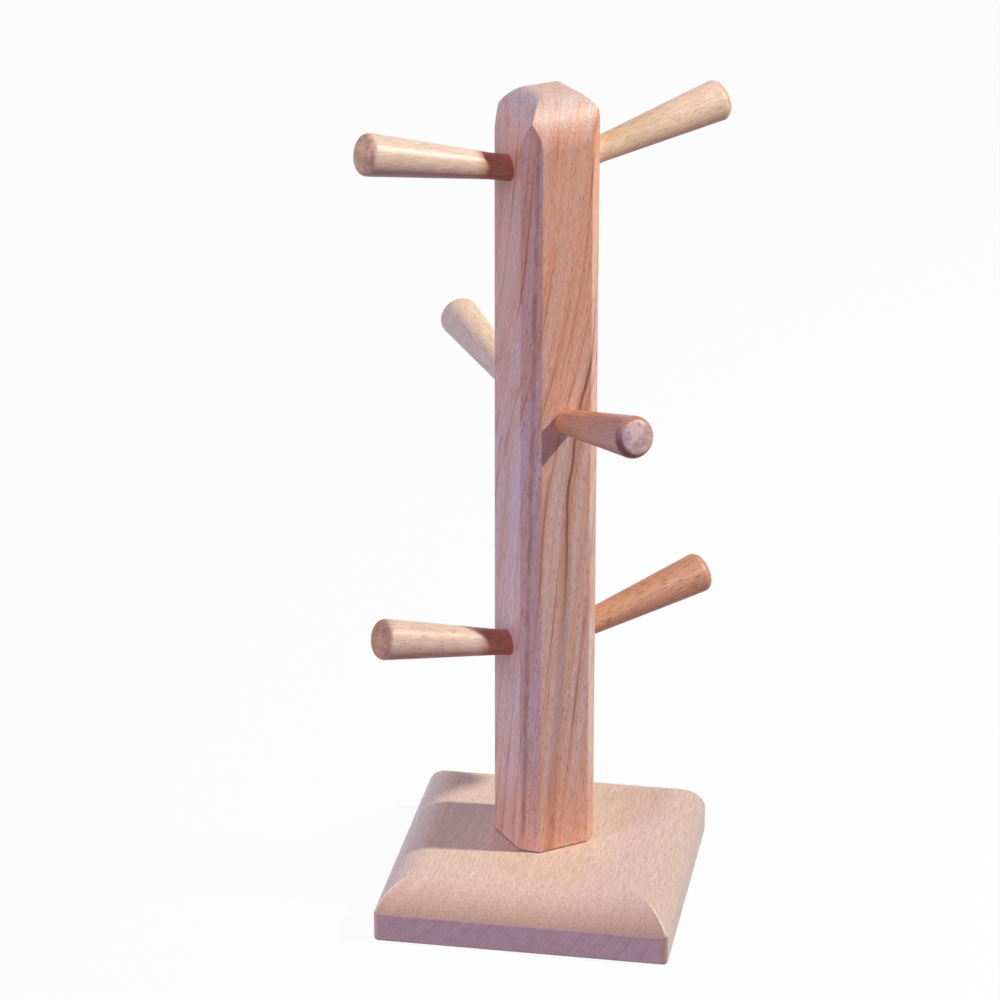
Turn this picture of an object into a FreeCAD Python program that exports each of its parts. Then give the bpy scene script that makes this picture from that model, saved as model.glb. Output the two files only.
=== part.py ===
"""Mug tree: a square base, a chamfered post and six tapered pegs in three tiers.

Millimetres, +Z up. The origin is the centre of the base's underside, on the axis of the post.
The base's front edge faces -Y.
"""
import FreeCAD
import Part
import math
import os

Vector = FreeCAD.Vector
UP = Vector(0, 0, 1)
ORIGIN = Vector(0, 0, 0)
# Two lengths closer than this are the same place
TOUCH = 1e-4

# Base block
BASE_SIDE = 140.0
BASE_BAND_HEIGHT = 14.0
BASE_ROUND_DROP = 15.0
BASE_ROUND_INSET = 20.0
BASE_CORNER_RADIUS = 2.6
BASE_CREASE_RADIUS = 1.8
BASE_HIP_RADIUS = 1.2
BASE_BOTTOM_RADIUS = 1.5

# Post
POST_SIDE = 40.0
POST_LENGTH = 371.5
POST_CHAMFER = 7.2
POST_ARRIS_RADIUS = 0.6
POST_TURN = 37.4
POST_FRONT_INSET = 13.5
POST_FRONT_DROP = 22.0
POST_BACK_INSET = 9.0
POST_BACK_DROP = 14.5
POST_CROWN_RADIUS = 6.5
POST_NEAR_HIP_RADIUS = 0.6
POST_FAR_HIP_RADIUS = 3.0
POST_FOOT_CHAMFER = 0.5

# Tiers of pegs, each measured down from the one above it
TOP_TO_UPPER_TIER = 38.0
UPPER_TO_MIDDLE_TIER = 119.0
MIDDLE_TO_LOWER_TIER = 115.0

# Pegs
PEG_RISE = 13.25
PEG_TENON_DIAMETER = 12.0
PEG_END_DIAMETER = 19.6
PEG_TAPER_LENGTH = 66.0
PEG_NECK = 0.3
PEG_END_CROWN = 1.2
PEG_EDGE_RADIUS = 3.9
PEG_TENON_CHAMFER = 1.0
SOCKET_CLEARANCE = 0.1
SOCKET_CORE = 3.0

# The post's four faces, as turns from its back right face
BACK_RIGHT_TURN = 0.0
BACK_LEFT_TURN = 90.0
FRONT_LEFT_TURN = 180.0
FRONT_RIGHT_TURN = 270.0

# How far each tenon stops short of the floor of its socket
UPPER_LEFT_SHORT = 7.5
UPPER_RIGHT_SHORT = 6.0
MIDDLE_LEFT_SHORT = 6.0
MIDDLE_RIGHT_SHORT = 0.5
LOWER_LEFT_SHORT = 2.0
LOWER_RIGHT_SHORT = 1.0

# Screw and washer
SCREW_DIAMETER = 5.0
SCREW_BITE = 35.0
SCREW_POINT_LENGTH = 5.0
SCREW_POINT_DIAMETER = 1.0
SCREW_HEAD_DIAMETER = 10.0
SCREW_HEAD_HEIGHT = 3.4
SCREW_HEAD_ROUND = 1.4
RECESS_WIDTH = 1.2
RECESS_LENGTH = 5.2
RECESS_DEPTH = 1.8
WASHER_DIAMETER = 16.0
WASHER_THICKNESS = 1.5
WASHER_CLEARANCE = 0.3
SHANK_CLEARANCE = 0.1
PILOT_CLEARANCE = 0.05
PILOT_SPARE_DEPTH = 1.0
COUNTERBORE_CLEARANCE = 0.5
HEAD_RECESS = 4.0

# Places that follow from the sizes above
BASE_THICKNESS = BASE_BAND_HEIGHT + BASE_ROUND_DROP
UPPER_TIER = BASE_THICKNESS + POST_LENGTH - TOP_TO_UPPER_TIER
MIDDLE_TIER = UPPER_TIER - UPPER_TO_MIDDLE_TIER
LOWER_TIER = MIDDLE_TIER - MIDDLE_TO_LOWER_TIER
RISE = math.radians(PEG_RISE)
AXIS_TO_FACE = POST_SIDE / 2 / math.cos(RISE)
SOCKET_RADIUS = PEG_TENON_DIAMETER / 2 + SOCKET_CLEARANCE
SOCKET_FLOOR = SOCKET_CORE / 2 / math.cos(RISE) + SOCKET_RADIUS * math.tan(RISE)
SOCKET_LIP = AXIS_TO_FACE + SOCKET_RADIUS * math.tan(RISE)
PEG_TENON_LENGTH = SOCKET_LIP - SOCKET_FLOOR + PEG_NECK
PEG_LENGTH = PEG_TENON_LENGTH + PEG_TAPER_LENGTH
COUNTERBORE_DEPTH = HEAD_RECESS + SCREW_HEAD_HEIGHT + WASHER_THICKNESS
COUNTERBORE_RADIUS = WASHER_DIAMETER / 2 + COUNTERBORE_CLEARANCE
HEAD_SEAT = COUNTERBORE_DEPTH - WASHER_THICKNESS
SCREW_TOP = BASE_THICKNESS + SCREW_BITE

# Each peg: node, tier height, turn round the post, gap between its tenon and the socket's floor
PEGS = (
    ("peg_upper_left", UPPER_TIER, FRONT_LEFT_TURN, UPPER_LEFT_SHORT),
    ("peg_upper_right", UPPER_TIER, BACK_RIGHT_TURN, UPPER_RIGHT_SHORT),
    ("peg_middle_left", MIDDLE_TIER, BACK_LEFT_TURN, MIDDLE_LEFT_SHORT),
    ("peg_middle_right", MIDDLE_TIER, FRONT_RIGHT_TURN, MIDDLE_RIGHT_SHORT),
    ("peg_lower_left", LOWER_TIER, FRONT_LEFT_TURN, LOWER_LEFT_SHORT),
    ("peg_lower_right", LOWER_TIER, BACK_RIGHT_TURN, LOWER_RIGHT_SHORT),
)


def line(start, end):
    return Part.LineSegment(start, end).toShape()


def arc_leaving(start, end, direction):
    """The arc from start to end that leaves start along direction, in the XZ plane."""
    chord = end - start
    normal = Vector(-direction.z, 0, direction.x)
    radius = chord.dot(chord) / (2 * chord.dot(normal))
    centre = start + normal * radius
    middle = (start + end) * 0.5 - centre
    middle.normalize()
    return Part.Arc(start, centre + middle * abs(radius), end).toShape()


def prism_along_y(edges, length):
    """A solid whose section in the XZ plane is the closed outline, centred on Y."""
    face = Part.Face(Part.Wire(Part.__sortEdges__(edges)))
    face.translate(Vector(0, -length / 2, 0))
    return face.extrude(Vector(0, length, 0))


def crossed(section):
    """What two equal sections share when one is turned a quarter, so that their curves meet in hips."""
    turned = section.copy()
    turned.rotate(ORIGIN, UP, 90)
    return section.common(turned)


def soften_edges(solid, radius, wanted):
    edges = [edge for edge in solid.Edges if wanted(edge)]
    return solid.makeFillet(radius, edges)


def is_hip(edge):
    """True for an edge that leans in from both of the sides it lies between."""
    box = edge.BoundBox
    return min(box.XLength, box.YLength, box.ZLength) > TOUCH


def square_prism(side, corner, height, radius):
    """An upright square prism with softened edges, its corners cut by flats or, with corner 0, whole."""
    half = side / 2
    cut = half - corner
    points = []
    for turn in range(4):
        angle = math.radians(90 * turn)
        for across in ((-cut, cut) if corner else (cut,)):
            x = half * math.cos(angle) - across * math.sin(angle)
            y = half * math.sin(angle) + across * math.cos(angle)
            points.append(Vector(x, y, 0))
    face = Part.Face(Part.makePolygon(points + points[:1]))
    solid = face.extrude(UP * height)
    return soften_edges(solid, radius, lambda edge: edge.BoundBox.ZLength > height - TOUCH)


def base_section():
    """The base's section: an upright band, then an arc that runs smoothly into the flat top."""
    half = BASE_SIDE / 2
    crown = half - BASE_ROUND_INSET
    left_foot = Vector(-half, 0, 0)
    right_foot = Vector(half, 0, 0)
    left_crease = Vector(-half, 0, BASE_BAND_HEIGHT)
    right_crease = Vector(half, 0, BASE_BAND_HEIGHT)
    left_crown = Vector(-crown, 0, BASE_THICKNESS)
    right_crown = Vector(crown, 0, BASE_THICKNESS)
    edges = [
        line(left_foot, right_foot),
        line(right_foot, right_crease),
        arc_leaving(right_crown, right_crease, Vector(1, 0, 0)),
        line(right_crown, left_crown),
        arc_leaving(left_crown, left_crease, Vector(-1, 0, 0)),
        line(left_crease, left_foot),
    ]
    prism = prism_along_y(edges, BASE_SIDE)

    def is_crease(edge):
        box = edge.BoundBox
        return box.YLength > BASE_SIDE - TOUCH and abs(box.Center.z - BASE_BAND_HEIGHT) < TOUCH

    return soften_edges(prism, BASE_CREASE_RADIUS, is_crease)


def make_base():
    block = soften_edges(crossed(base_section()), BASE_HIP_RADIUS, is_hip)
    block = block.common(square_prism(BASE_SIDE, 0, BASE_THICKNESS, BASE_CORNER_RADIUS))
    block = soften_edges(block, BASE_BOTTOM_RADIUS, lambda edge: edge.BoundBox.ZMax < TOUCH)
    shank_hole = Part.makeCylinder(SCREW_DIAMETER / 2 + SHANK_CLEARANCE, BASE_THICKNESS)
    counterbore = Part.makeCylinder(COUNTERBORE_RADIUS, COUNTERBORE_DEPTH)
    return block.cut(shank_hole).cut(counterbore)


def post_section():
    """The post's section: straight sides that round in to a small flat, more at the front than the back."""
    half = POST_SIDE / 2
    front_foot = Vector(-half, 0, 0)
    back_foot = Vector(half, 0, 0)
    front_shoulder = Vector(-half, 0, POST_LENGTH - POST_FRONT_DROP)
    back_shoulder = Vector(half, 0, POST_LENGTH - POST_BACK_DROP)
    front_crown = Vector(POST_FRONT_INSET - half, 0, POST_LENGTH)
    back_crown = Vector(half - POST_BACK_INSET, 0, POST_LENGTH)
    edges = [
        line(front_foot, back_foot),
        line(back_foot, back_shoulder),
        arc_leaving(back_shoulder, back_crown, UP),
        line(back_crown, front_crown),
        arc_leaving(front_shoulder, front_crown, UP),
        line(front_shoulder, front_foot),
    ]
    prism = prism_along_y(edges, POST_SIDE)

    def is_crown_edge(edge):
        box = edge.BoundBox
        return box.YLength > POST_SIDE - TOUCH and box.ZMin > POST_LENGTH - TOUCH

    return soften_edges(prism, POST_CROWN_RADIUS, is_crown_edge)


def is_near_hip(edge):
    """True for the front and right hips of the post's top, before the post is turned."""
    return is_hip(edge) and edge.BoundBox.Center.y < 0


def is_far_hip(edge):
    """True for its back and left hips."""
    return is_hip(edge) and edge.BoundBox.Center.y > 0


def peg_placement(tier, direction):
    """Carries a shape built along +Z from the post's axis out along a peg's own axis."""
    lean = FreeCAD.Rotation(Vector(0, 1, 0), 90 - PEG_RISE)
    swing = FreeCAD.Rotation(UP, POST_TURN + direction)
    return FreeCAD.Placement(UP * tier, swing.multiply(lean))


def make_post():
    prism = square_prism(POST_SIDE, POST_CHAMFER, POST_LENGTH, POST_ARRIS_RADIUS)
    post = soften_edges(crossed(post_section()), POST_NEAR_HIP_RADIUS, is_near_hip)
    post = soften_edges(post, POST_FAR_HIP_RADIUS, is_far_hip).common(prism)
    foot_edges = [edge for edge in post.Edges if edge.BoundBox.ZMax < TOUCH]
    post = post.makeChamfer(POST_FOOT_CHAMFER, foot_edges)
    post.rotate(ORIGIN, UP, POST_TURN)
    post.translate(UP * BASE_THICKNESS)
    for node, tier, direction, stops_short in PEGS:
        socket = Part.makeCylinder(SOCKET_RADIUS, POST_SIDE, UP * SOCKET_FLOOR)
        socket.Placement = peg_placement(tier, direction).multiply(socket.Placement)
        post = post.cut(socket)
    pilot_radius = SCREW_DIAMETER / 2 + PILOT_CLEARANCE
    pilot = Part.makeCylinder(pilot_radius, SCREW_BITE + PILOT_SPARE_DEPTH, UP * BASE_THICKNESS)
    return post.cut(pilot)


def turned_peg():
    """One peg on +Z: a straight tenon, a taper that grows outwards, a softened edge and a crowned end."""
    tenon = PEG_TENON_DIAMETER / 2
    end = PEG_END_DIAMETER / 2
    rim = PEG_LENGTH - PEG_END_CROWN
    rim_point = Vector(end, 0, rim)
    tip = Vector(0, 0, PEG_LENGTH)
    tenon_foot = Vector(tenon - PEG_TENON_CHAMFER, 0, 0)
    tenon_start = Vector(tenon, 0, PEG_TENON_CHAMFER)
    tenon_end = Vector(tenon, 0, PEG_TENON_LENGTH)
    edges = [
        line(ORIGIN, tenon_foot),
        line(tenon_foot, tenon_start),
        line(tenon_start, tenon_end),
        line(tenon_end, rim_point),
        arc_leaving(tip, rim_point, Vector(1, 0, 0)),
        line(tip, ORIGIN),
    ]
    peg = Part.Face(Part.Wire(Part.__sortEdges__(edges))).revolve(ORIGIN, UP, 360)

    def is_rim(edge):
        box = edge.BoundBox
        return box.ZLength < TOUCH and abs(box.ZMax - rim) < TOUCH

    return soften_edges(peg, PEG_EDGE_RADIUS, is_rim)


def make_peg(tier, direction, stops_short):
    peg = turned_peg()
    peg.translate(UP * (SOCKET_FLOOR + stops_short))
    peg.Placement = peg_placement(tier, direction).multiply(peg.Placement)
    return peg


def make_screw():
    """A round-headed wood screw, driven upwards, with a cross recess in its head."""
    radius = SCREW_DIAMETER / 2
    head = Part.makeCylinder(SCREW_HEAD_DIAMETER / 2, SCREW_HEAD_HEIGHT, UP * HEAD_RECESS)
    head = soften_edges(head, SCREW_HEAD_ROUND, lambda edge: edge.BoundBox.ZMax < HEAD_RECESS + TOUCH)
    point_start = SCREW_TOP - SCREW_POINT_LENGTH
    shank = Part.makeCylinder(radius, point_start - HEAD_SEAT, UP * HEAD_SEAT)
    point = Part.makeCone(radius, SCREW_POINT_DIAMETER / 2, SCREW_POINT_LENGTH, UP * point_start)
    screw = head.fuse(shank).fuse(point)
    for length, width in ((RECESS_LENGTH, RECESS_WIDTH), (RECESS_WIDTH, RECESS_LENGTH)):
        corner = Vector(-length / 2, -width / 2, HEAD_RECESS)
        screw = screw.cut(Part.makeBox(length, width, RECESS_DEPTH, corner))
    return screw.removeSplitter()


def make_washer():
    seat = UP * HEAD_SEAT
    disc = Part.makeCylinder(WASHER_DIAMETER / 2, WASHER_THICKNESS, seat)
    hole = Part.makeCylinder(SCREW_DIAMETER / 2 + WASHER_CLEARANCE, WASHER_THICKNESS, seat)
    return disc.cut(hole)


def write_step(node, shape):
    solids = shape.Solids
    assert len(solids) == 1 and solids[0].isValid(), node
    solids[0].exportStep(os.path.join("parts", node + ".step"))
    box = shape.BoundBox
    print(f"{node}: {shape.Volume / 1000:.2f} cm3, z {box.ZMin:.2f} to {box.ZMax:.2f}")


os.makedirs("parts", exist_ok=True)
write_step("base", make_base())
write_step("post", make_post())
for name, tier_height, peg_direction, short_by in PEGS:
    write_step(name, make_peg(tier_height, peg_direction, short_by))
write_step("centre_screw", make_screw())
write_step("washer", make_washer())
print(f"tenon {PEG_TENON_LENGTH:.2f}, peg {PEG_LENGTH:.2f}, overall height {BASE_THICKNESS + POST_LENGTH:.2f}")
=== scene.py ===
# %% [markdown]
# # A beech mug tree
# The object is a kitchen mug tree: a square base, one upright post and six tapered pegs, all in
# varnished beech. One screw from below holds the post on the base. The shapes are already right in
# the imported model, so they stay as they are. The work here is the wood: where each piece was cut from
# its log decides which lines, flecks and end grain show on each of its faces.

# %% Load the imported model
import math

import bpy
from mathutils import Matrix, Vector


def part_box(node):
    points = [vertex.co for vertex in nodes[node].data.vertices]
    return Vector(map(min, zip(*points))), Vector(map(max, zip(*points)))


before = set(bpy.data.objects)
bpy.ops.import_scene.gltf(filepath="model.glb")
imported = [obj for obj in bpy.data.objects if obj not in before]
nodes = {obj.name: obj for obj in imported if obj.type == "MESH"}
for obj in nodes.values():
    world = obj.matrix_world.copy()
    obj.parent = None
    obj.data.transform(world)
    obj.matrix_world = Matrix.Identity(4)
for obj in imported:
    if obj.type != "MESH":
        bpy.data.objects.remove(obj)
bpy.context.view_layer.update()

scene = bpy.context.scene
print("pieces:", ", ".join(sorted(nodes)))

# %% [markdown]
# ## The camera
# The picture was taken from a little above and to the right of the front, with a long lens, so the
# upright edges stay almost parallel. A camera can be placed by hand or by numbers. Numbers are used
# here: two angles, a distance and a lens, and a point on the post to look at.

# %% Camera
CAMERA_AZIMUTH = math.radians(9.96)
CAMERA_ELEVATION = math.radians(22.83)
CAMERA_DISTANCE = 1.8725
CAMERA_LENS = 144.76
LOOK_HEIGHT = 0.2019
LOOK_LEFT = 0.02115

to_right = Vector((math.cos(CAMERA_AZIMUTH), math.sin(CAMERA_AZIMUTH), 0))
flat = math.cos(CAMERA_ELEVATION)
to_camera = Vector((
    math.sin(CAMERA_AZIMUTH) * flat,
    -math.cos(CAMERA_AZIMUTH) * flat,
    math.sin(CAMERA_ELEVATION),
))
look_at = Vector((0, 0, LOOK_HEIGHT)) - to_right * LOOK_LEFT

camera = bpy.data.objects.new("camera", bpy.data.cameras.new("camera"))
scene.collection.objects.link(camera)
camera.data.lens = CAMERA_LENS
camera.location = look_at + to_camera * CAMERA_DISTANCE
camera.rotation_mode = "QUATERNION"
camera.rotation_quaternion = to_camera.to_track_quat("Z", "Y")
scene.camera = camera
print("camera at", [round(value, 3) for value in camera.location])

# %% [markdown]
# ## Small helpers for node trees
# A material in Blender is a tree of nodes. Placing every node by hand makes a long script, so a few
# short helpers do the common jobs: start a material, add a node, join a value or another node's result
# to a socket, do sums, sample noise, and turn a slope into a soft step.

# %% Helpers for nodes and sums
def new_material(name):
    """A material with an empty node tree."""
    material = bpy.data.materials.new(name)
    material.use_nodes = True
    material.node_tree.nodes.clear()
    return material


def feed(tree, socket, value):
    """Joins another node's result to the socket, or sets a plain value on it."""
    if isinstance(value, bpy.types.NodeSocket):
        tree.links.new(value, socket)
    else:
        socket.default_value = value


def add_node(tree, kind, *values, **settings):
    """A node whose first sockets take the values in order."""
    node = tree.nodes.new("ShaderNode" + kind)
    for name, setting in settings.items():
        setattr(node, name, setting)
    for socket, value in zip(node.inputs, values):
        feed(tree, socket, value)
    return node


def sums(tree, operation, *values):
    return add_node(tree, "Math", *values, operation=operation).outputs[0]


def stretch(tree, vector, factors):
    return add_node(tree, "VectorMath", vector, factors, operation="MULTIPLY").outputs[0]


def reach_along(tree, vector, direction):
    """How far the vector reaches along the direction."""
    return add_node(tree, "VectorMath", vector, direction, operation="DOT_PRODUCT").outputs["Value"]


# %% Helpers for steps, noise and colour
def soft_step(tree, value, low, high, bottom=0.0, top=1.0):
    """Goes smoothly from bottom to top while the value goes from low to high."""
    node = add_node(tree, "MapRange", value, low, high, bottom, top, interpolation_type="SMOOTHSTEP")
    return node.outputs[0]


def noise(tree, vector, detail, roughness):
    node = add_node(tree, "TexNoise")
    feed(tree, node.inputs["Vector"], vector)
    feed(tree, node.inputs["Scale"], 1.0)
    feed(tree, node.inputs["Detail"], detail)
    feed(tree, node.inputs["Roughness"], roughness)
    return node


def mix_colour(tree, factor, first, second, blend_type="MIX"):
    node = add_node(tree, "Mix", data_type="RGBA", blend_type=blend_type)
    feed(tree, node.inputs[0], factor)
    feed(tree, node.inputs[6], first)
    feed(tree, node.inputs[7], second)
    return node.outputs[2]


def grey(tree, value):
    return add_node(tree, "CombineColor", value, value, value).outputs[0]


def tint(red, green, blue):
    """A colour given as a screen shows it, from 0 to 255, turned into light."""
    light = []
    for value in (red, green, blue):
        share = value / 255
        light.append(share / 12.92 if share <= 0.04045 else ((share + 0.055) / 1.055) ** 2.4)
    return (*light, 1.0)


print("half grey on a screen is", round(tint(128, 128, 128)[0], 3), "of white light")

# %% [markdown]
# ## The lamps
# A mug tree for a catalogue stands on white paper. The key light is one small warm lamp, a good metre
# to the right and above the post, which throws crisp shadows across the base and the pegs. It is near
# enough that its light falls more steeply on the base than on the post's top, so a point lamp suits it
# better than a sun. A bluish light comes in low from the left front. It is far off and broad, so it is
# a sun with a wide disc.

# %% Lamps
KEY_PLACE = (1.18, 0.062, 1.27)
KEY_RADIUS = 0.045
KEY_POWER = 88.0
KEY_COLOUR = (1.0, 0.97, 0.91)
FILL_AZIMUTH = math.radians(225)
FILL_ELEVATION = math.radians(18)
FILL_WIDTH = math.radians(25)
FILL_STRENGTH = 2.0
FILL_COLOUR = (0.49, 0.57, 1.0)

scene.view_settings.view_transform = "Standard"

key = bpy.data.objects.new("key", bpy.data.lights.new("key", "POINT"))
scene.collection.objects.link(key)
key.location = KEY_PLACE
key.data.shadow_soft_size = KEY_RADIUS
key.data.energy = KEY_POWER
key.data.color = KEY_COLOUR
print("key light at", KEY_PLACE)

to_fill = Vector((
    math.cos(FILL_AZIMUTH) * math.cos(FILL_ELEVATION),
    math.sin(FILL_AZIMUTH) * math.cos(FILL_ELEVATION),
    math.sin(FILL_ELEVATION),
))
fill = bpy.data.objects.new("fill", bpy.data.lights.new("fill", "SUN"))
scene.collection.objects.link(fill)
fill.rotation_mode = "QUATERNION"
fill.rotation_quaternion = to_fill.to_track_quat("Z", "Y")
fill.data.angle = FILL_WIDTH
fill.data.energy = FILL_STRENGTH
fill.data.color = FILL_COLOUR
print("fill light from", [round(value, 2) for value in to_fill])

# %% [markdown]
# ## The room
# The room fills the rest of the shade with a dim, slightly violet light. To the camera, and in anything
# that shines, it has to look like white paper instead. More light would do that but would bleach the
# wood. The Light Path node does it without: it tells which kind of ray is asking.

# %% Room light
ROOM_COLOUR = (0.19, 0.11, 0.155, 1.0)
WHITE = (1.0, 1.0, 1.0, 1.0)


def seen_directly(tree):
    """1 for rays from the camera or from a mirror-like surface, 0 for rays that carry soft light."""
    path = add_node(tree, "LightPath")
    seen = sums(tree, "MAXIMUM", path.outputs["Is Camera Ray"], path.outputs["Is Glossy Ray"])
    return sums(tree, "MAXIMUM", seen, path.outputs["Is Transmission Ray"])


world = bpy.data.worlds.new("room")
world.use_nodes = True
scene.world = world
room = world.node_tree
room.nodes.clear()
dim_room = add_node(room, "Background", ROOM_COLOUR, 1.0).outputs[0]
white_room = add_node(room, "Background", WHITE, 1.0).outputs[0]
room_mix = add_node(room, "MixShader", seen_directly(room), dim_room, white_room)
add_node(room, "OutputWorld", room_mix.outputs[0])
print("room light", ROOM_COLOUR[:3])

# %% [markdown]
# ## The paper floor
# The floor is one wide sheet of white paper. Most of its white is a glow that only the camera and shiny
# surfaces see. The small rest is lit by the lamps, so the mug tree still throws a faint shadow. Soft
# light finds a dark paper here, which keeps the undersides of the pegs deep.

# %% Floor
FLOOR_HALF = 6.0
PAPER_BOUNCE = (0.17, 0.10, 0.16, 1.0)
PAPER_GLOW = 0.94

corners = [(-FLOOR_HALF, -FLOOR_HALF, 0), (FLOOR_HALF, -FLOOR_HALF, 0),
           (FLOOR_HALF, FLOOR_HALF, 0), (-FLOOR_HALF, FLOOR_HALF, 0)]
sheet = bpy.data.meshes.new("floor")
sheet.from_pydata(corners, [], [(0, 1, 2, 3)])
floor = bpy.data.objects.new("floor", sheet)
scene.collection.objects.link(floor)

paper = new_material("white_paper")
tree = paper.node_tree
seen = seen_directly(tree)
lit_paper = add_node(tree, "BsdfDiffuse", mix_colour(tree, seen, PAPER_BOUNCE, WHITE))
glow = add_node(tree, "Emission", WHITE, 1.0)
share = sums(tree, "MULTIPLY", seen, PAPER_GLOW)
paper_mix = add_node(tree, "MixShader", share, lit_paper.outputs[0], glow.outputs[0])
add_node(tree, "OutputMaterial", paper_mix.outputs[0])
sheet.materials.append(paper)
print("floor", 2 * FLOOR_HALF, "m wide")

# %% [markdown]
# ## Beech, as a solid
# Beech is a pale pinkish wood. Three things make it look like beech: growth rings, which are tubes
# round the heart of the log; long soft streaks along the grain; and rays, thin sheets that run from
# the heart outwards and are cut by a face as short dark dashes. A flat picture of wood would need a
# new picture for each face. A solid pattern needs only the place of the log's heart: the end grain,
# the sides and the rounded edges then fit together by themselves. The pattern is one node group. It
# works in millimetres, with the heart of the log on its Z axis. No log is quite round or straight, so
# a slow noise first lets the rings wander by a few millimetres.

# %% Start of the beech group
VECTOR, NUMBER, COLOUR = "NodeSocketVector", "NodeSocketFloat", "NodeSocketColor"
GIVEN = {
    "Wood": VECTOR, "Slant": NUMBER, "Cut": NUMBER, "Stain And Shade": NUMBER,
    "Pale": COLOUR, "Middle": COLOUR, "Dark": COLOUR, "Soak And Painted Light": COLOUR, "End": COLOUR,
    "Ring Width": NUMBER, "Rings": NUMBER, "Streaks": NUMBER, "End Rings": NUMBER, "End Blots": NUMBER,
    "Flecks": NUMBER, "Fleck Length": NUMBER, "Fleck Width": NUMBER, "Heart Distance": NUMBER,
}
MADE = {"Colour": COLOUR, "Roughness": NUMBER, "Height": NUMBER}
# Noise waves per millimetre along the log's X, Y and Z axes, as in all of the beech group
WANDER_WAVES = (0.022, 0.022, 0.004)
WANDER = 6.0

beech = bpy.data.node_groups.new("beech", "ShaderNodeTree")
for sockets, direction in ((GIVEN, "INPUT"), (MADE, "OUTPUT")):
    for name, kind in sockets.items():
        beech.interface.new_socket(name, in_out=direction, socket_type=kind)
given = beech.nodes.new("NodeGroupInput").outputs
result = beech.nodes.new("NodeGroupOutput").inputs

wander = noise(beech, stretch(beech, given["Wood"], WANDER_WAVES), 2.0, 0.5).outputs["Color"]
centred = add_node(beech, "VectorMath", wander, (0.5, 0.5, 0.5), operation="SUBTRACT").outputs[0]
drift = stretch(beech, centred, (WANDER, WANDER, 0))
wood = add_node(beech, "VectorMath", given["Wood"], drift, operation="ADD").outputs[0]
across = stretch(beech, wood, (1, 1, 0))
from_heart = add_node(beech, "VectorMath", across, operation="LENGTH").outputs["Value"]
print("beech group takes", len(GIVEN), "inputs")

# %% [markdown]
# ## Growth rings and streaks
# Each year's ring starts pale and ends in a thin darker line. A repeated ramp gives that line, and a
# little noise along the radius makes some years broader or darker than others. The streaks are noise
# pulled out along the grain, a broad one and a fine one. Fibres and strands are finer still: a fibre is
# a third of a millimetre thick, and a strand is a short bundle of them.

# %% Growth rings
YEAR_WAVES = 0.55
YEAR_UNEVEN = 1.5
LINE_RISES = (0.45, 0.92)
LINE_FALLS = (1.0, 0.94)

years = sums(beech, "DIVIDE", from_heart, given["Ring Width"])
year_noise = add_node(beech, "TexNoise", noise_dimensions="1D")
feed(beech, year_noise.inputs["W"], years)
feed(beech, year_noise.inputs["Scale"], YEAR_WAVES)
feed(beech, year_noise.inputs["Detail"], 3.0)
year_tone = year_noise.outputs[0]
season = sums(beech, "FRACT", sums(beech, "MULTIPLY_ADD", year_tone, YEAR_UNEVEN, years))
line_rise = soft_step(beech, season, *LINE_RISES)
ring_line = sums(beech, "MULTIPLY", line_rise, soft_step(beech, season, *LINE_FALLS))
print("year lines from", LINE_RISES[0], "to", LINE_FALLS[0], "of a ring")

# %% Streaks, fibres and strands
BROAD_WAVES = (0.30, 0.05, 0.0035)
FINE_WAVES = (1.0, 0.15, 0.009)
FIBRE_WAVES = (3.4, 3.4, 0.05)
STRAND_WAVES = (1.3, 1.3, 0.14)

broad_streak = noise(beech, stretch(beech, wood, BROAD_WAVES), 3.0, 0.55).outputs[0]
fine_streak = noise(beech, stretch(beech, wood, FINE_WAVES), 2.0, 0.6).outputs[0]
fibre = noise(beech, stretch(beech, wood, FIBRE_WAVES), 2.0, 0.65).outputs[0]
strand = noise(beech, stretch(beech, wood, STRAND_WAVES), 3.0, 0.7).outputs[0]
print("a fibre is about", round(1 / FIBRE_WAVES[0], 2), "mm thick")

# %% [markdown]
# ## Rays
# The rays are the mark of beech. Each is a sheet a third of a millimetre thick and a few millimetres
# tall. Cells of a Voronoi pattern stand for them here, and about half of the cells are kept. They are
# squeezed around the log and drawn out along the grain and along the radius, so a face cut along the
# rings shows short dashes and a face cut along a radius shows broader flakes. The pores are much
# finer, so plain noise is enough for them.

# %% Ray flecks and pores
RAY_REACH = 1.6
RAY_EDGE = (0.46, 0.16)
RAY_KEPT = (0.30, 0.80)
LOST_ON_ENDS = 0.8
PORE_WAVES = (6.5, 6.5, 0.3)
PORE_EDGE = (0.58, 0.75)

parts = add_node(beech, "SeparateXYZ", wood).outputs
bearing = sums(beech, "ARCTAN2", parts["Y"], parts["X"])
around = sums(beech, "MULTIPLY", bearing, given["Heart Distance"])
ray_place = add_node(
    beech, "CombineXYZ",
    sums(beech, "DIVIDE", from_heart, RAY_REACH),
    sums(beech, "DIVIDE", around, given["Fleck Width"]),
    sums(beech, "DIVIDE", parts["Z"], given["Fleck Length"]),
).outputs[0]
ray_cell = add_node(beech, "TexVoronoi")
feed(beech, ray_cell.inputs["Vector"], ray_place)
feed(beech, ray_cell.inputs["Scale"], 1.0)
ray_body = soft_step(beech, ray_cell.outputs["Distance"], *RAY_EDGE)
ray_chance = add_node(beech, "SeparateColor", ray_cell.outputs["Color"]).outputs[0]
ray = sums(beech, "MULTIPLY", ray_body, soft_step(beech, ray_chance, *RAY_KEPT))
along_grain = sums(beech, "MULTIPLY_ADD", given["Cut"], -LOST_ON_ENDS, 1.0)
fleck = sums(beech, "MULTIPLY", ray, sums(beech, "MULTIPLY", along_grain, given["Flecks"]))

pore_noise = noise(beech, stretch(beech, wood, PORE_WAVES), 1.0, 0.5).outputs[0]
pore = soft_step(beech, pore_noise, *PORE_EDGE)
print("rays reach", RAY_REACH, "mm")
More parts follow.
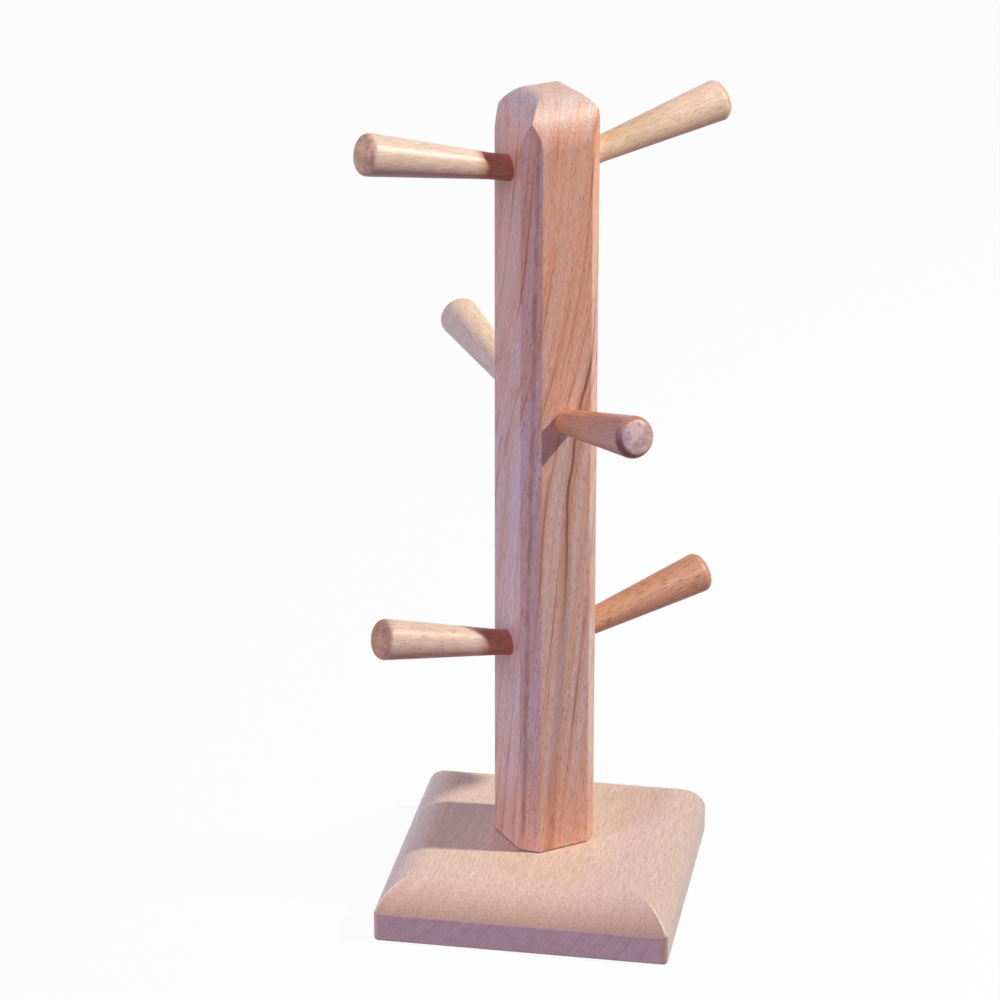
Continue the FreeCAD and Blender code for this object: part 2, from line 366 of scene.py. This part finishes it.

# %% [markdown]
# ## The colour of the wood
# Rings and streaks are added up to one tone, which slides from the pale colour through the middle one
# to the dark one. The fibres make fine light and dark hairs, and the rays and pores are laid over. A
# face that slants across the fibres soaks up more varnish, and its colour shifts. On the post the same
# shift makes the slanting crown paler as a painted highlight, and on the pinker peg it darkens the rim
# partly as painted shade. A ramp of colours could do the same, but three colours by name are easier to
# set for each piece.

# %% Colour along the grain
YEAR_SHARE, LINE_SHARE = 1.5, 0.12
BROAD_SHARE, FINE_SHARE = 1.0, 0.8
MIDDLE_TONES = (0.34, 0.60)
DARK_TONES, DARK_MOST = (0.60, 0.95), 0.6
FIBRE_HAIRS = (0.25, 0.75, 1.05, 0.95)
STRAND_HAIRS = (0.30, 0.70, 1.12, 0.86)
FLECK_SHADE = (0.52, 0.40, 0.37, 1.0)
PORE_SHARE = 0.18


def swing(value, size):
    """How far a noise lies above or below its middle, times the size."""
    return sums(beech, "MULTIPLY", sums(beech, "SUBTRACT", value, 0.5), size)


line_swing = sums(beech, "MULTIPLY", ring_line, LINE_SHARE)
year_swing = sums(beech, "ADD", swing(year_tone, YEAR_SHARE), line_swing)
streak_swing = sums(beech, "ADD", swing(broad_streak, BROAD_SHARE), swing(fine_streak, FINE_SHARE))
streak_tone = sums(beech, "MULTIPLY_ADD", streak_swing, given["Streaks"], 0.5)
tone = sums(beech, "MULTIPLY_ADD", year_swing, given["Rings"], streak_tone)
ground = mix_colour(beech, soft_step(beech, tone, *MIDDLE_TONES), given["Pale"], given["Middle"])
darker = sums(beech, "MAXIMUM", soft_step(beech, tone, *DARK_TONES, 0.0, DARK_MOST), given["Stain And Shade"])
streaked = mix_colour(beech, darker, ground, given["Dark"])
strand_hairs = soft_step(beech, strand, *STRAND_HAIRS)
hairs = sums(beech, "MULTIPLY", soft_step(beech, fibre, *FIBRE_HAIRS), strand_hairs)
haired = mix_colour(beech, 1.0, streaked, grey(beech, hairs), "MULTIPLY")
fleck_colour = mix_colour(beech, 1.0, given["Middle"], FLECK_SHADE, "MULTIPLY")
flecked = mix_colour(beech, fleck, haired, fleck_colour)
pored = mix_colour(beech, sums(beech, "MULTIPLY", pore, PORE_SHARE), flecked, fleck_colour)
# The slant colour: soaked varnish on the base and most pegs, a painted highlight on the post's crown,
# and partly painted shade on the pinker peg's rim
soak_and_light_share = sums(beech, "MULTIPLY", given["Slant"], given["Slant"])
soak_and_light_tinted = mix_colour(beech, soak_and_light_share, pored, mix_colour(beech, 1.0, pored, given["Soak And Painted Light"], "MULTIPLY"))
print("wood turns dark above a tone of", DARK_TONES[0])

# %% [markdown]
# ## End grain
# A face straight across the fibres takes the colour of end grain, with the year lines and pores drawn
# on it. The open fibres drink varnish unevenly, which leaves a few soft blots. Their noise is turned
# out of line with the log, because noise cut along its own cells shows squares.

# %% Colour of end grain
END_LINE = (0.66, 0.56, 0.55, 1.0)
END_PORES = 0.3
BLOT_TURN = 0.9
BLOT_WAVES = (0.25, 0.25, 0.25)
BLOT_SHADES = (0.36, 0.64, 0.76, 1.20)

end_line_colour = mix_colour(beech, 1.0, given["End"], END_LINE, "MULTIPLY")
end_year = sums(beech, "MULTIPLY", ring_line, given["End Rings"])
end_mark = sums(beech, "MAXIMUM", end_year, sums(beech, "MULTIPLY", pore, END_PORES))
end_grain = mix_colour(beech, end_mark, given["End"], end_line_colour)
turned = add_node(beech, "VectorRotate", wood, (0, 0, 0), (1, 1, 0), BLOT_TURN).outputs[0]
blot_noise = noise(beech, stretch(beech, turned, BLOT_WAVES), 3.0, 0.6).outputs[0]
blot_colour = grey(beech, soft_step(beech, blot_noise, *BLOT_SHADES))
end_blotted = mix_colour(beech, given["End Blots"], end_grain, blot_colour, "MULTIPLY")
feed(beech, result["Colour"], mix_colour(beech, given["Cut"], soak_and_light_tinted, end_blotted))
print("blots are about", round(1 / BLOT_WAVES[0]), "mm wide")

# %% [markdown]
# ## The feel of the varnish
# Satin varnish fills the wood but not quite: the fibres can still be seen in its shine. The finish is
# a little rougher over pores and on end grain, and the flecks and fibres stand a few hundredths of a
# millimetre below or above the rest. That is far too fine for the mesh, so it is left to bump.

# %% Roughness and height
SATIN = 0.34
STRAND_ROUGH, PORE_ROUGH, END_ROUGH = 0.12, 0.08, 0.08
FIBRE_HEIGHT, STRAND_HEIGHT = 0.025, 0.04
FLECK_DEPTH, PORE_DEPTH = 0.015, 0.012

strand_feel = sums(beech, "MULTIPLY_ADD", strand, STRAND_ROUGH, SATIN)
pored_feel = sums(beech, "MULTIPLY_ADD", pore, PORE_ROUGH, strand_feel)
feed(beech, result["Roughness"], sums(beech, "MULTIPLY_ADD", given["Cut"], END_ROUGH, pored_feel))
strand_rise = sums(beech, "MULTIPLY", strand, STRAND_HEIGHT)
raised = sums(beech, "MULTIPLY_ADD", fibre, FIBRE_HEIGHT, strand_rise)
pore_dip = sums(beech, "MULTIPLY", pore, PORE_DEPTH)
lowered = sums(beech, "ADD", sums(beech, "MULTIPLY", fleck, FLECK_DEPTH), pore_dip)
feed(beech, result["Height"], sums(beech, "SUBTRACT", raised, lowered))
print("varnish roughness from", SATIN)

# %% [markdown]
# ## From log to piece
# Each piece gets a material of its own that says where it lay in the log: the direction of its grain,
# where the heart was, and its colours. A mapping node in its texture mode moves the log to that place,
# and turns metres into millimetres on the way. A piece may also bend the log, darken it in places with
# real streaks and with painted shade, and shift its colour, in places as painted light. Each of these
# is a small function that adds its nodes.

# %% Material for one piece of beech
MILLIMETRE = 0.001
VARNISH_IOR = 1.5


def log_turn(along, outward):
    """The rotation that lays the log's axis along the grain, with its X axis pointing outward."""
    x = Vector(outward) - along * along.dot(Vector(outward))
    x.normalize()
    return Matrix((x, along.cross(x), along)).transposed().to_euler()


def finish_in_beech(node, heart, grain, outward, look, ends, bend=None, stain_and_shade=None, shift=None):
    """Gives the node a material of its own, cut from a log whose heart passes through the given point.

    End grain sets in between the two shares in ends: 0 is a face along the grain, 1 is straight across.
    """
    material = new_material(node + "_wood")
    tree = material.node_tree
    along = Vector(grain).normalized()
    place = add_node(tree, "TexCoord").outputs
    in_wood = bend(tree, place["Object"]) if bend else place["Object"]
    log = add_node(tree, "Mapping", in_wood, vector_type="TEXTURE")
    log.inputs["Location"].default_value = heart
    log.inputs["Rotation"].default_value = log_turn(along, outward)
    log.inputs["Scale"].default_value = (MILLIMETRE, MILLIMETRE, MILLIMETRE)
    low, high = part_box(node)
    aside = (low + high) / 2 - Vector(heart)
    aside -= along * aside.dot(along)

    values = dict(look)
    values["Wood"] = log.outputs[0]
    values["Slant"] = sums(tree, "ABSOLUTE", reach_along(tree, place["Normal"], along))
    values["Cut"] = soft_step(tree, values["Slant"], *ends)
    # Darkening towards the dark colour: real streaks in the post, and painted shade on the base's right
    # edge and round the post's foot
    values["Stain And Shade"] = stain_and_shade(tree, in_wood) if stain_and_shade else 0.0
    values["Heart Distance"] = aside.length / MILLIMETRE
    beech_wood = add_node(tree, "Group", node_tree=beech)
    for name, value in values.items():
        feed(tree, beech_wood.inputs[name], value)

    bump = add_node(tree, "Bump")
    feed(tree, bump.inputs["Distance"], MILLIMETRE)
    feed(tree, bump.inputs["Height"], beech_wood.outputs["Height"])
    colour = beech_wood.outputs["Colour"]
    if shift:
        colour = mix_colour(tree, 1.0, colour, shift(tree, in_wood), "MULTIPLY")
    varnish = add_node(tree, "BsdfPrincipled")
    feed(tree, varnish.inputs["Base Color"], colour)
    feed(tree, varnish.inputs["Roughness"], beech_wood.outputs["Roughness"])
    feed(tree, varnish.inputs["Normal"], bump.outputs[0])
    feed(tree, varnish.inputs["IOR"], VARNISH_IOR)
    add_node(tree, "OutputMaterial", varnish.outputs[0])
    nodes[node].material_slots[0].material = material
    print(node, "cut", round(values["Heart Distance"]), "mm from the heart")


# %% [markdown]
# ## The base
# The base was sawn from a board with its grain running from front to back, so its front edge shows end
# grain. The rings there climb to the right and get steeper, which puts the heart of the log high up on
# the left. The top is a slanting cut through the same rings and shows pale wood with many short flecks.
# Towards the right edge the colour is painted darker and pinker, as painted shade that holds down the
# key lamp's light on that side. The sharp lines where two rounded edges meet are painted pale, as a
# painted highlight of the key lamp. Such lines could be painted on by hand, but there the surface faces
# two sides at once, and its own direction tells that.

# %% Marks on the base
# Painted shade: the base turns darker and pinker towards its right edge
RIGHT_SHADE_FROM, RIGHT_SHADE_TO, RIGHT_SHADE_MOST = 0.0, 0.075, 0.6
# Painted highlight on the lines where two rounded edges meet
HIP_HIGHLIGHT = (1.3, 1.5, 1.5, 1.0)
HIGHLIGHT_SIDES = (0.08, 0.25)
HIGHLIGHT_UPWARDS = (0.15, 0.40)


def base_right_painted_shade(tree, in_wood):
    """Painted shade that grows towards the right edge of the base."""
    across_base = add_node(tree, "SeparateXYZ", in_wood).outputs["X"]
    return soft_step(tree, across_base, RIGHT_SHADE_FROM, RIGHT_SHADE_TO, 0.0, RIGHT_SHADE_MOST)


def base_hip_highlight(tree, in_wood):
    """A painted highlight: paler where the surface faces two sides at once and upwards."""
    facing = add_node(tree, "SeparateXYZ", add_node(tree, "TexCoord").outputs["Normal"]).outputs
    aside, ahead = (sums(tree, "ABSOLUTE", facing[axis]) for axis in "XY")
    both = soft_step(tree, sums(tree, "MINIMUM", aside, ahead), *HIGHLIGHT_SIDES)
    highlighted = sums(tree, "MULTIPLY", both, soft_step(tree, facing["Z"], *HIGHLIGHT_UPWARDS))
    return mix_colour(tree, highlighted, WHITE, HIP_HIGHLIGHT)


# How much the painted highlight brightens those lines
print("rubbed lines are", HIP_HIGHLIGHT[0], "times as bright")

# %% Base
BASE_LOOK = {
    "Pale": tint(248, 226, 199), "Middle": tint(241, 214, 182), "Dark": tint(202, 180, 176),
    "Soak And Painted Light": (0.93, 0.72, 0.50, 1.0), "End": tint(229, 193, 175),
    "Ring Width": 1.7, "Rings": 0.15, "Streaks": 0.2, "End Rings": 0.42, "End Blots": 0.25,
    "Flecks": 0.36, "Fleck Length": 6.0, "Fleck Width": 0.9,
}
BASE_HEART = (-0.139, 0.0, 0.127)
BASE_GRAIN = (0.03, 1, 0.02)
BASE_OUTWARD = (1, 0, -0.8)
BASE_ENDS = (0.9, 0.99)

finish_in_beech("base", BASE_HEART, BASE_GRAIN, BASE_OUTWARD, BASE_LOOK, BASE_ENDS,
                stain_and_shade=base_right_painted_shade, shift=base_hip_highlight)

# %% [markdown]
# ## The grain of the post
# The post's grain runs upwards, but the tree did not grow quite straight: half way up, the lines on
# the right front face drift to the right. A curve over the height says how far the log has drifted
# there, and the whole pattern is moved by that much. A bent log could also be modelled and cut, but
# one curve node does the same and is easy to redraw.

# %% Drift of the grain
POST_TURN = math.radians(37.4)
POST_TOP = 0.4005
DRIFT_REACH = 0.0314
# Height and sideways drift of the grain, both in metres
POST_DRIFT = (
    (0.0, 0.0), (0.050, 0.0018), (0.110, 0.0055), (0.170, 0.0088), (0.200, 0.0090), (0.230, 0.0119),
    (0.254, 0.0156), (0.269, 0.0194), (0.296, 0.0249), (0.330, 0.0284), (POST_TOP, DRIFT_REACH),
)

face_right = Vector((math.sin(POST_TURN), -math.cos(POST_TURN), 0))
along_right = Vector((math.cos(POST_TURN), math.sin(POST_TURN), 0))


def post_drift(tree, place):
    """Moves the pattern sideways by the grain's drift at each height."""
    height = sums(tree, "DIVIDE", add_node(tree, "SeparateXYZ", place).outputs["Z"], POST_TOP)
    curve = add_node(tree, "FloatCurve")
    feed(tree, curve.inputs["Value"], height)
    line = curve.mapping.curves[0]
    shares = [(at / POST_TOP, drifted / DRIFT_REACH) for at, drifted in POST_DRIFT]
    line.points[0].location = shares[0]
    line.points[-1].location = shares[-1]
    for share in shares[1:-1]:
        line.points.new(*share)
    curve.mapping.update()
    aside = add_node(tree, "VectorMath", along_right * DRIFT_REACH, operation="SCALE")
    feed(tree, aside.inputs["Scale"], curve.outputs[0])
    return add_node(tree, "VectorMath", place, aside.outputs[0], operation="SUBTRACT").outputs[0]


print("grain drifts", round(DRIFT_REACH / MILLIMETRE), "mm in all")

# %% [markdown]
# ## Dark streaks and painted shade at the foot
# One dark streak follows the drift, close under the right front face, and softens towards the foot. A
# thinner, broken one runs up the planed-off front edge. In the log, a streak is a thin upright sheet of
# dark wood, so it is made as a sheet here too, and a face shows it wherever it cuts it. A thin band
# round the foot, over the fine groove where the post meets the base, is painted dark as shade.

# %% One dark sheet
# The post is measured in metres, so these are noise waves per metre
SHEET_WAVES = (60, 60, 60)
SHEET_WAVE = 0.002
SHEET_CORE = 1 / 5


def dark_sheet(tree, place, across, at, edge):
    """1 in a thin, slightly wavy sheet of dark wood square to a direction, 0 beyond the edge."""
    wave = noise(tree, stretch(tree, place, SHEET_WAVES), 2.0, 0.5).outputs[0]
    wavy = sums(tree, "MULTIPLY_ADD", wave, SHEET_WAVE, reach_along(tree, place, across))
    away = sums(tree, "ABSOLUTE", sums(tree, "SUBTRACT", wavy, at + SHEET_WAVE / 2))
    return soft_step(tree, away, edge, edge * SHEET_CORE)


print("dark sheets wave by", SHEET_WAVE / MILLIMETRE, "mm")

# %% Streaks and seam of the post
STREAK_AT = -0.0084
STREAK_HALF, HALO_HALF = 0.0014, 0.0040
STREAK_HEIGHTS, STREAK_SHADES = (0.10, 0.21), (0.15, 0.95)
HALO_SHADE = 0.3
UNDER_FACE = (0.013, 0.018)
EDGE_STREAK_AT = -0.004
EDGE_STREAK_HALF = 0.0017
EDGE_STREAK_LEAN = 0.019
UNDER_EDGE = (0.020, 0.0225)
BREAK_WAVES = (0, 0, 45)
BREAK_SHADES = (0.35, 0.60, 0.15, 0.55)
POST_FOOT = 0.029
FOOT_SHADE_HEIGHT = 0.0009

front_edge = (face_right - along_right).normalized()
across_edge = (face_right + along_right).normalized() - Vector((0, 0, EDGE_STREAK_LEAN))


def face_streak(tree, in_wood, place, height):
    """The streak under the right front face: a dark core in a paler halo."""
    core = sums(tree, "MULTIPLY", dark_sheet(tree, in_wood, along_right, STREAK_AT, STREAK_HALF),
                soft_step(tree, height, *STREAK_HEIGHTS, *STREAK_SHADES))
    halo_sheet = dark_sheet(tree, in_wood, along_right, STREAK_AT, HALO_HALF)
    halo = sums(tree, "MULTIPLY", halo_sheet, HALO_SHADE)
    near_face = soft_step(tree, reach_along(tree, place, face_right), *UNDER_FACE)
    return sums(tree, "MULTIPLY", sums(tree, "MAXIMUM", core, halo), near_face)


def edge_streak(tree, place):
    """The thinner, broken streak on the front edge."""
    near_edge = soft_step(tree, reach_along(tree, place, front_edge), *UNDER_EDGE)
    breaks = noise(tree, stretch(tree, place, BREAK_WAVES), 2.0, 0.6).outputs[0]
    strength = sums(tree, "MULTIPLY", near_edge, soft_step(tree, breaks, *BREAK_SHADES))
    thin_sheet = dark_sheet(tree, place, across_edge, EDGE_STREAK_AT, EDGE_STREAK_HALF)
    return sums(tree, "MULTIPLY", thin_sheet, strength)


def post_streaks_and_foot_shade(tree, in_wood):
    """How dark the wood is in the two streaks, and the painted shade round the foot."""
    place = add_node(tree, "TexCoord").outputs["Object"]
    height = add_node(tree, "SeparateXYZ", place).outputs["Z"]
    streaks = sums(tree, "MAXIMUM", face_streak(tree, in_wood, place, height), edge_streak(tree, place))
    # Painted shade: a thin dark band just above the foot, over the groove where the post meets the base
    foot_shade = soft_step(tree, height, POST_FOOT + FOOT_SHADE_HEIGHT, POST_FOOT + FOOT_SHADE_HEIGHT / 2)
    return sums(tree, "MAXIMUM", foot_shade, streaks)


print("foot_shade", FOOT_SHADE_HEIGHT / MILLIMETRE, "mm high")

# %% [markdown]
# ## The post
# On the left front face the lines lean steadily, so the whole log leans a little that way. The wood
# is warm at the top and at the foot, and cooler and pinker in between. Wood darkens and warms with
# light and handling, and seldom evenly, so a soft shift of colour over the height stands for that.

# %% Post
COOL_ABOVE = (0.045, 0.095)
COOL_BELOW = (0.33, 0.20)
WARM_SHIFT = (1.03, 0.95, 0.91, 1.0)
COOL_SHIFT = (0.99, 1.10, 1.27, 1.0)
POST_LEAN = 0.09
RINGS_TURN = math.radians(33)
HEART_BEHIND, HEART_LEFT = 0.15, 0.0074
POST_LOOK = {
    "Pale": tint(232, 192, 168), "Middle": tint(233, 178, 143), "Dark": tint(144, 78, 58),
    # On the post the slant colour makes the crown paler: a painted highlight
    "Soak And Painted Light": (0.88, 1.48, 1.85, 1.0), "End": tint(224, 202, 182),
    "Ring Width": 3.0, "Rings": 0.5, "Streaks": 1.2, "End Rings": 0.2, "End Blots": 0.25,
    "Flecks": 0.5, "Fleck Length": 3.6, "Fleck Width": 0.8,
}
POST_ENDS = (0.8, 0.98)


def post_cooling(tree, in_wood):
    """The change of colour over the height: warm at both ends, cool in between."""
    height = add_node(tree, "SeparateXYZ", in_wood).outputs["Z"]
    below_top = soft_step(tree, height, *COOL_BELOW)
    cool = sums(tree, "MULTIPLY", below_top, soft_step(tree, height, *COOL_ABOVE))
    return mix_colour(tree, cool, WARM_SHIFT, COOL_SHIFT)


rings_face = along_right * math.cos(RINGS_TURN) + face_right * math.sin(RINGS_TURN)
post_grain = Vector((0, 0, 1)) + face_right * POST_LEAN
post_heart = rings_face * -HEART_BEHIND - along_right * HEART_LEFT
finish_in_beech("post", post_heart, post_grain, rings_face, POST_LOOK, POST_ENDS,
                post_drift, post_streaks_and_foot_shade, post_cooling)

# %% [markdown]
# ## Wood for the pegs
# The pegs were turned from short lengths of different boards, so they do not match: one is cream, two
# are honey, one is pale gold, one pinker and one more orange. One material with random colours would be
# shorter, but here each peg has its own place in the picture, so the colours are named.

# %% Colours of the pegs
PEG_WOOD = {
    "Soak And Painted Light": (0.95, 0.84, 0.74, 1.0),
    "Ring Width": 3.0, "Rings": 0.3, "Streaks": 0.5, "End Rings": 0.35, "End Blots": 1.0,
    "Flecks": 0.4, "Fleck Length": 4.0, "Fleck Width": 0.7,
}
GOLD = {
    "Pale": tint(246, 224, 202), "Middle": tint(240, 211, 182),
    "Dark": tint(206, 160, 129), "End": tint(214, 160, 118),
}
CREAM = {
    "Pale": tint(244, 225, 202), "Middle": tint(239, 214, 185),
    "Dark": tint(206, 164, 134), "End": tint(235, 186, 138),
}
HONEY = {
    "Pale": tint(245, 224, 192), "Middle": tint(241, 212, 172),
    "Dark": tint(208, 164, 126), "End": tint(218, 172, 138),
}
PINK = {
    "Pale": tint(212, 162, 136), "Middle": tint(199, 143, 117),
    "Dark": tint(158, 100, 80), "End": tint(217, 189, 180),
    # A darker rim, partly soaked varnish and partly painted shade
    "Soak And Painted Light": (0.70, 0.50, 0.44, 1.0),
}
ORANGE = {
    "Pale": tint(234, 186, 152), "Middle": tint(218, 160, 122),
    "Dark": tint(156, 96, 70), "End": tint(200, 154, 128),
    "Flecks": 0.85, "Fleck Length": 6.0,
}
print("five woods for six pegs")

# %% [markdown]
# ## Root colour and painted shade
# The roots of the two left pegs are painted darker and redder, as painted shadow of the post, which
# falls across them. The pinker peg is made more orange towards its root. The lower left of the pinker
# one's rim is painted dark, as painted shade on the side away from the key lamp. A rim faces partly
# outwards and partly aside, so the surface's own direction finds that place.

# %% Root colour, painted shadow and painted shade
# Change of colour, how far from the middle of the post it ends and is full, and whether the rim gets
# painted shade
# Painted shadow of the post across the roots of the two left pegs
ROOT_PAINTED_SHADOW = ((0.73, 0.38, 0.29, 1.0), (0.040, 0.032), False)
ORANGE_ROOT_AND_RIM_SHADE = ((1.22, 1.09, 0.77, 1.0), (0.085, 0.034), True)
PLAIN_ROOT = None
# Painted shade on the lower left of the pinker peg's rim, the side away from the key lamp
RIM_SHADE_COLOUR = (0.45, 0.28, 0.26, 1.0)
# Left, forwards and down
RIM_SHADE_SIDE = (-0.53, -0.59, -0.61)
RIM_SHADE_OUTWARDS = (0.12, 0.40)
RIM_SHADE_ASIDE = (0.15, 0.55)


def root_colour_and_painted_shade(grain, out_of_post, root_colour, reach, rim_shade):
    """Makes the change of colour for a peg that leaves the post in the given direction."""
    def root_and_rim_shift(tree, in_wood):
        # Colour towards the root, which on the two left pegs is painted shadow of the post
        near_root = soft_step(tree, reach_along(tree, in_wood, out_of_post), *reach)
        colour = mix_colour(tree, near_root, WHITE, root_colour)
        if not rim_shade:
            return colour
        # Painted shade on the rim's lower left
        normal = add_node(tree, "TexCoord").outputs["Normal"]
        outwards = soft_step(tree, reach_along(tree, normal, grain), *RIM_SHADE_OUTWARDS)
        aside = soft_step(tree, reach_along(tree, normal, RIM_SHADE_SIDE), *RIM_SHADE_ASIDE)
        return mix_colour(tree, sums(tree, "MULTIPLY", outwards, aside), colour, RIM_SHADE_COLOUR)
    return root_and_rim_shift


print("red roots end", ROOT_PAINTED_SHADOW[1][0] / MILLIMETRE, "mm from the middle of the post")

# %% [markdown]
# ## The pegs
# Each peg has its grain along its own axis and end grain on its crowned end. On most of them the end
# grain takes in the rounded rim as well. The pinker one was sanded less there: its rim is dark, partly
# from soaked-up varnish and partly as painted shade, and its end is pale. A roll of the log about the
# peg shows other rings on each.

# %% Pegs
PEG_RISE = math.radians(13.25)
PEG_HEART = 0.032
WHOLE_END = (0.15, 0.6)
FLAT_END = (0.7, 0.96)
# Name, turn from the post's right back face, wood, roll of the log, end grain, root colour and painted
# shade
PEGS = (
    ("peg_upper_left", 180, CREAM, 20, WHOLE_END, ROOT_PAINTED_SHADOW),
    ("peg_upper_right", 0, HONEY, 110, WHOLE_END, PLAIN_ROOT),
    ("peg_middle_left", 90, HONEY, 200, WHOLE_END, PLAIN_ROOT),
    ("peg_middle_right", 270, PINK, 65, FLAT_END, ORANGE_ROOT_AND_RIM_SHADE),
    ("peg_lower_left", 180, GOLD, 290, WHOLE_END, ROOT_PAINTED_SHADOW),
    ("peg_lower_right", 0, ORANGE, 250, WHOLE_END, PLAIN_ROOT),
)

for node, turn, colours, roll, ends, root in PEGS:
    bearing_angle = POST_TURN + math.radians(turn)
    out_of_post = Vector((math.cos(bearing_angle), math.sin(bearing_angle), 0))
    grain = Vector((
        math.cos(bearing_angle) * math.cos(PEG_RISE),
        math.sin(bearing_angle) * math.cos(PEG_RISE),
        math.sin(PEG_RISE),
    ))
    level = grain.cross(Vector((0, 0, 1))).normalized()
    outward = Matrix.Rotation(math.radians(roll), 3, grain) @ level
    low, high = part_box(node)
    heart = (low + high) / 2 - outward * PEG_HEART
    look = {**PEG_WOOD, **colours}
    root_and_rim_shift = root_colour_and_painted_shade(grain, out_of_post, *root) if root else None
    finish_in_beech(node, heart, grain, outward, look, ends, shift=root_and_rim_shift)

# %% [markdown]
# ## Screw and washer
# The fittings under the base are zinc-plated steel. Zinc is a cloudy grey with a soft shine, never a
# clean mirror, so noise varies its colour and its polish.

# %% Zinc
# Noise waves per metre, and how much finer the scratches are
CLOUD_WAVES = (900, 900, 900)
SCRATCH_FINER = (4, 4, 0.4)
CLOUD_TONES = (0.3, 0.7)
ZINC_DARK, ZINC_PALE = tint(196, 198, 200), tint(222, 224, 226)
ZINC_ROUGHNESS = (0.3, 0.7, 0.28, 0.46)
SCRATCH_HEIGHT = 0.02

zinc = new_material("zinc_plate")
tree = zinc.node_tree
zinc_place = stretch(tree, add_node(tree, "TexCoord").outputs["Object"], CLOUD_WAVES)
cloud = noise(tree, zinc_place, 3.0, 0.6).outputs[0]
scratch = noise(tree, stretch(tree, zinc_place, SCRATCH_FINER), 2.0, 0.6).outputs[0]
zinc_colour = mix_colour(tree, soft_step(tree, cloud, *CLOUD_TONES), ZINC_DARK, ZINC_PALE)
zinc_bump = add_node(tree, "Bump")
feed(tree, zinc_bump.inputs["Distance"], MILLIMETRE)
feed(tree, zinc_bump.inputs["Height"], sums(tree, "MULTIPLY", scratch, SCRATCH_HEIGHT))
plate = add_node(tree, "BsdfPrincipled")
feed(tree, plate.inputs["Metallic"], 1.0)
feed(tree, plate.inputs["Base Color"], zinc_colour)
feed(tree, plate.inputs["Roughness"], soft_step(tree, scratch, *ZINC_ROUGHNESS))
feed(tree, plate.inputs["Normal"], zinc_bump.outputs[0])
add_node(tree, "OutputMaterial", plate.outputs[0])
for node in ("centre_screw", "washer"):
    nodes[node].material_slots[0].material = zinc
    print(node, "finished in zinc")
